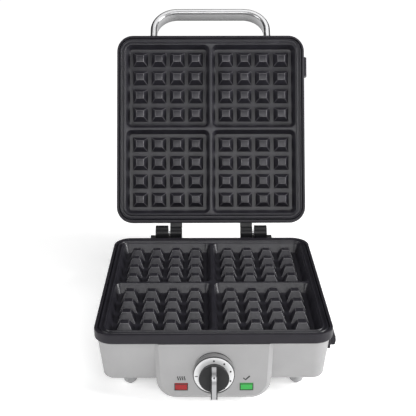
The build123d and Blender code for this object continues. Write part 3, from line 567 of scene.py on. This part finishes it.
def stroke(points, width):
    """Outline of a pen line through the points."""
    left = []
    right = []
    for k, (x, z) in enumerate(points):
        before = points[max(k - 1, 0)]
        after = points[min(k + 1, len(points) - 1)]
        along = Vector((after[0] - before[0], after[1] - before[1])).normalized() * width / 2
        left.append((x - along.y, z + along.x))
        right.append((x + along.y, z - along.x))
    return left + right[::-1]


def lathe(name, profile, centre, material, body, count=96):
    """Turns a closed profile of (radius, y) about an axis along y through centre."""
    vertices = []
    faces = []
    size = len(profile)
    for k in range(count):
        turn = 2 * pi * k / count
        for radius, y in profile:
            vertices.append((centre.x + radius * cos(turn), y, centre.z + radius * sin(turn)))
    for k in range(count):
        after = (k + 1) % count
        for j in range(size):
            nxt = (j + 1) % size
            faces.append((k * size + j, k * size + nxt, after * size + nxt, after * size + j))
    add_mesh(name, vertices, faces, material, body)


def middle(node):
    """Middle of a CAD node's box."""
    low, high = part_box(node)
    return (low + high) / 2


dial = middle("dial_ring")
ring_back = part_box("dial_ring")[1].y
mark_radius = 0.0206
mark_centre = dial.z - 0.0012
spot_radius = 0.0012
dash_start = dial.x - mark_radius - 0.0018
dash_end = dial.x - mark_radius + 0.0016
dash_width = 0.0012

marks = []
for angle in (0, 36, 72, 108, 144):
    turn = radians(angle)
    spot = (dial.x + mark_radius * sin(turn), mark_centre + mark_radius * cos(turn))
    marks.append(dot(*spot, spot_radius))
marks.append(stroke([(dash_start, mark_centre), (dash_end, mark_centre)], dash_width))
printed_or_painted_shade("dial_marks", "dial_ring", marks, "base")
pointer_rise = 0.0093
pointer_radius = 0.0010
pointer_dot = dot(dial.x, dial.z + pointer_rise, pointer_radius)
printed_or_painted_shade("knob_pointer_dot", "dial_knob_strip", [pointer_dot], "knob")

# A black plate behind the ring that shows as a thin line round it
backing_bore = 0.0036
backing_rim = 0.0246
backing = [
    (backing_bore, ring_back), (backing_rim, ring_back), (backing_rim, ring_back - 0.0009),
    (backing_rim - 0.0002, ring_back - 0.0011), (backing_bore, ring_back - 0.0008),
]
lathe("dial_backing", backing, dial, MATERIALS["black_plastic"], "base")

# A dark line painted on the console's face just above the dial's boss, as painted shade along the boss's top edge,
# thinner towards its ends
boss_radius = 0.0256
painted_shade_width = 0.0011
painted_shade_reach = 62
painted_shade_steps = 24
painted_shade_outer = []
painted_shade_inner = []
for k in range(painted_shade_steps + 1):
    turn = radians(painted_shade_reach * (2 * k / painted_shade_steps - 1))
    swell = painted_shade_width * cos(turn * 90 / painted_shade_reach)
    for rim, radius in ((painted_shade_outer, boss_radius + swell), (painted_shade_inner, boss_radius)):
        rim.append((dial.x + radius * sin(turn), dial.z + radius * cos(turn)))
printed_or_painted_shade("dial_boss_painted_shade", "base_housing", [painted_shade_outer + painted_shade_inner[::-1]], "base")

# Heat waves over the red lamp and a tick over the green one
legend_x = 0.0385
legend_z = 0.0332
wave_gap = 0.0026
wave_height = 0.0048
wave_sway = 0.0005
wave_width = 0.0013
tick_width = 0.0017
waves = []
for place in (-1.5, -0.5, 0.5, 1.5):
    line = []
    for t in [k / 16 for k in range(17)]:
        x = -legend_x + place * wave_gap + wave_sway * sin(2 * pi * t)
        line.append((x, legend_z + wave_height * (t - 0.5)))
    waves.append(stroke(line, wave_width))
printed_or_painted_shade("heating_pictogram", "base_housing", waves, "base")
tick = [
    (legend_x - 0.0036, legend_z + 0.0002), (legend_x - 0.0011, legend_z - 0.0021),
    (legend_x + 0.0040, legend_z + 0.0026),
]
printed_or_painted_shade("ready_pictogram", "base_housing", [stroke(tick, tick_width)], "base")


def lamp_frame(name, node):
    """Dark rim round the front of a signal lamp's window."""
    centre = middle(node)
    half_x = 0.0079
    half_z = 0.00415
    rim = 0.00085
    clear_of_window = 0.0062
    top = front_of("base_housing", centre.x, centre.z + clear_of_window)
    low = front_of("base_housing", centre.x, centre.z - clear_of_window)
    lean = (low.y - top.y) / (low.z - top.z)
    face = top.y + lean * (centre.z - top.z)
    # Each row's inset from the frame's outline, and its depth from the console's face
    rows = (
        (0.0, 0.0002), (0.0, -0.00085), (0.00025, -0.00105),
        (rim - 0.0002, -0.00105), (rim, -0.00085), (rim, -0.0004),
    )
    vertices = []
    for inset, out in rows:
        for side_x, side_z in ((-1, -1), (1, -1), (1, 1), (-1, 1)):
            x = centre.x + side_x * (half_x - inset)
            z = centre.z + side_z * (half_z - inset)
            vertices.append((x, face + lean * (z - centre.z) + out, z))
    faces = []
    for row in range(len(rows)):
        following = (row + 1) % len(rows)
        for k in range(4):
            after = (k + 1) % 4
            faces.append((row * 4 + k, row * 4 + after, following * 4 + after, following * 4 + k))
    add_mesh(name, vertices, faces, MATERIALS["black_plastic"], "base")


lamp_frame("power_lamp_frame", "power_lamp_lens")
lamp_frame("ready_lamp_frame", "ready_lamp_lens")


# ------------------------------------------------------------------ stage, lights, camera

def plain_floor():
    """Pale floor, lit from within more and more away from the object so that it stays white."""
    data = bpy.data.meshes.new("floor")
    size = 6.0
    data.from_pydata(
        [(-size, -size, 0), (size, -size, 0), (size, size, 0), (-size, size, 0)], [], [(0, 1, 2, 3)]
    )
    obj = bpy.data.objects.new("floor", data)
    bpy.context.scene.collection.objects.link(obj)
    finish = Finish("pale_floor", (0.96, 0.96, 0.96), 0.6)
    finish.tint(finish.noise(2.0), 0.99, 1.01)
    finish.set(Emission_Color=(1.0, 1.0, 1.0, 1.0))
    reach = finish.tree.nodes.new("ShaderNodeVectorMath")
    reach.operation = "LENGTH"
    finish.tree.links.new(finish.place, reach.inputs[0])
    glow = finish.curve(reach.outputs["Value"], 0.25, 2.2, 0.42, 0.95)
    finish.tree.links.new(glow, finish.shader.inputs["Emission Strength"])
    dress(obj, finish.material)


def soft_light(name, place, target, size, power):
    """Rectangular lamp at a place, facing its target."""
    data = bpy.data.lights.new(name, "AREA")
    data.shape = "RECTANGLE"
    data.size = size[0]
    data.size_y = size[1]
    data.energy = power
    obj = bpy.data.objects.new(name, data)
    obj.location = place
    direction = Vector(target) - Vector(place)
    obj.rotation_euler = direction.to_track_quat("-Z", "Y").to_euler()
    bpy.context.scene.collection.objects.link(obj)


plain_floor()
soft_light("top", (0.35, 0.1, 1.9), (0, 0, 0.1), (1.5, 1.2), 13)
soft_light("front", (0.2, -2.2, 1.3), (0, 0, 0.15), (1.8, 0.9), 25)
soft_light("left", (-1.7, -0.9, 0.9), (0, 0, 0.1), (0.7, 1.2), 17)
soft_light("right", (1.7, -0.5, 0.9), (0, 0, 0.1), (0.5, 1.0), 38)
bpy.context.scene.view_settings.view_transform = "Standard"


def studio_world():
    """Even light from the front and the sides that falls off overhead and towards the back."""
    world = bpy.data.worlds.new("studio")
    bpy.context.scene.world = world
    world.use_nodes = True
    tree = world.node_tree
    way = tree.nodes.new("ShaderNodeTexCoord")
    overhead = tree.nodes.new("ShaderNodeVectorMath")
    overhead.operation = "DOT_PRODUCT"
    overhead.inputs[1].default_value = (0, 0.6, 0.8)
    fade = tree.nodes.new("ShaderNodeMapRange")
    fade.inputs["From Min"].default_value = 0.0
    fade.inputs["From Max"].default_value = 0.85
    fade.inputs["To Min"].default_value = 1.38
    fade.inputs["To Max"].default_value = 0.4
    tree.links.new(way.outputs["Generated"], overhead.inputs[0])
    tree.links.new(overhead.outputs["Value"], fade.inputs["Value"])
    tree.links.new(fade.outputs["Result"], tree.nodes["Background"].inputs["Strength"])


studio_world()

camera_data = bpy.data.cameras.new("camera")
camera_data.lens = 71.06
camera_data.sensor_width = 36.0
camera = bpy.data.objects.new("camera", camera_data)
camera_from_plates = Vector((-0.01277, -0.98186, 0.48174))
looking_down = 21.067
turned_right = 0.402
camera.location = plates_meet + camera_from_plates
camera.rotation_euler = (radians(90 - looking_down), 0, radians(-turned_right))
bpy.context.scene.collection.objects.link(camera)
bpy.context.scene.camera = camera
